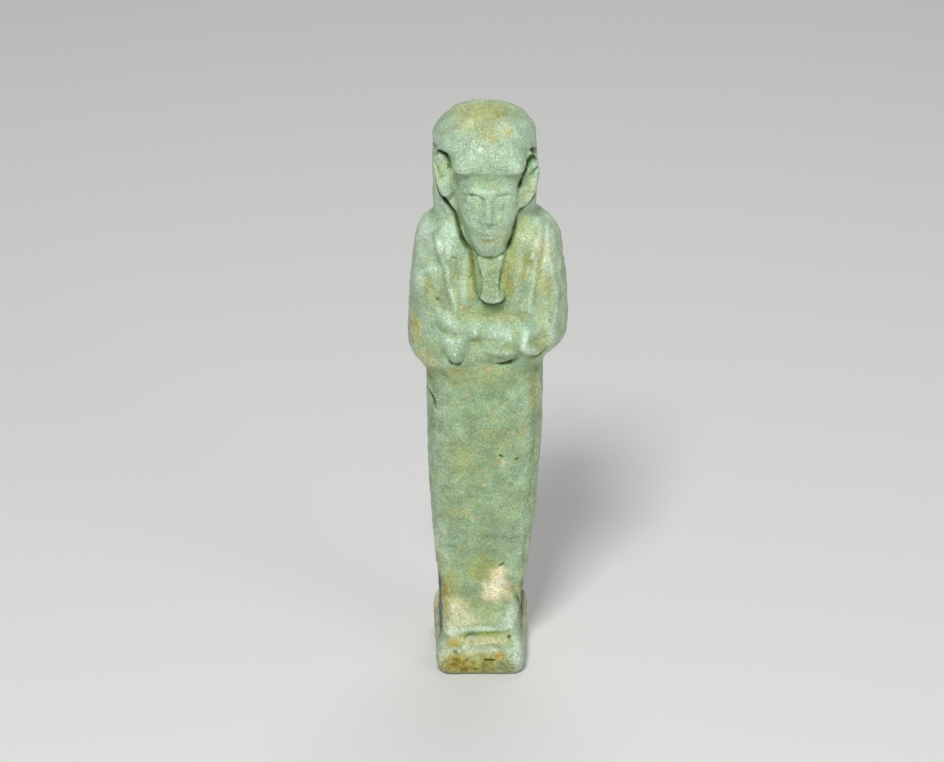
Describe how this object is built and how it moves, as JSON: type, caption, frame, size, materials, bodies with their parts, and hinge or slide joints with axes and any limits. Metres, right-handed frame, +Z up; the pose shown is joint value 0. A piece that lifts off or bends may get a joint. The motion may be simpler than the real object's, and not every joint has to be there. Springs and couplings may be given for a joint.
{
  "type": "shabti",
  "caption": "Mummiform faience shabti with a plain wig, long false beard and crossed hands holding hoes, moulded in one piece with its plinth and back pillar.",
  "frame": {"origin": "middle of the plinth's flat underside", "axes": "+Z up the figure, -Y the way the figure faces, +X towards its left hand"},
  "size_m": [0.0264, 0.0209, 0.0985],
  "materials": {
    "faience": "satin, granular pale green glaze"
  },
  "bodies": {
    "root": {"shabti": "faience"}
  },
  "joints": []
}
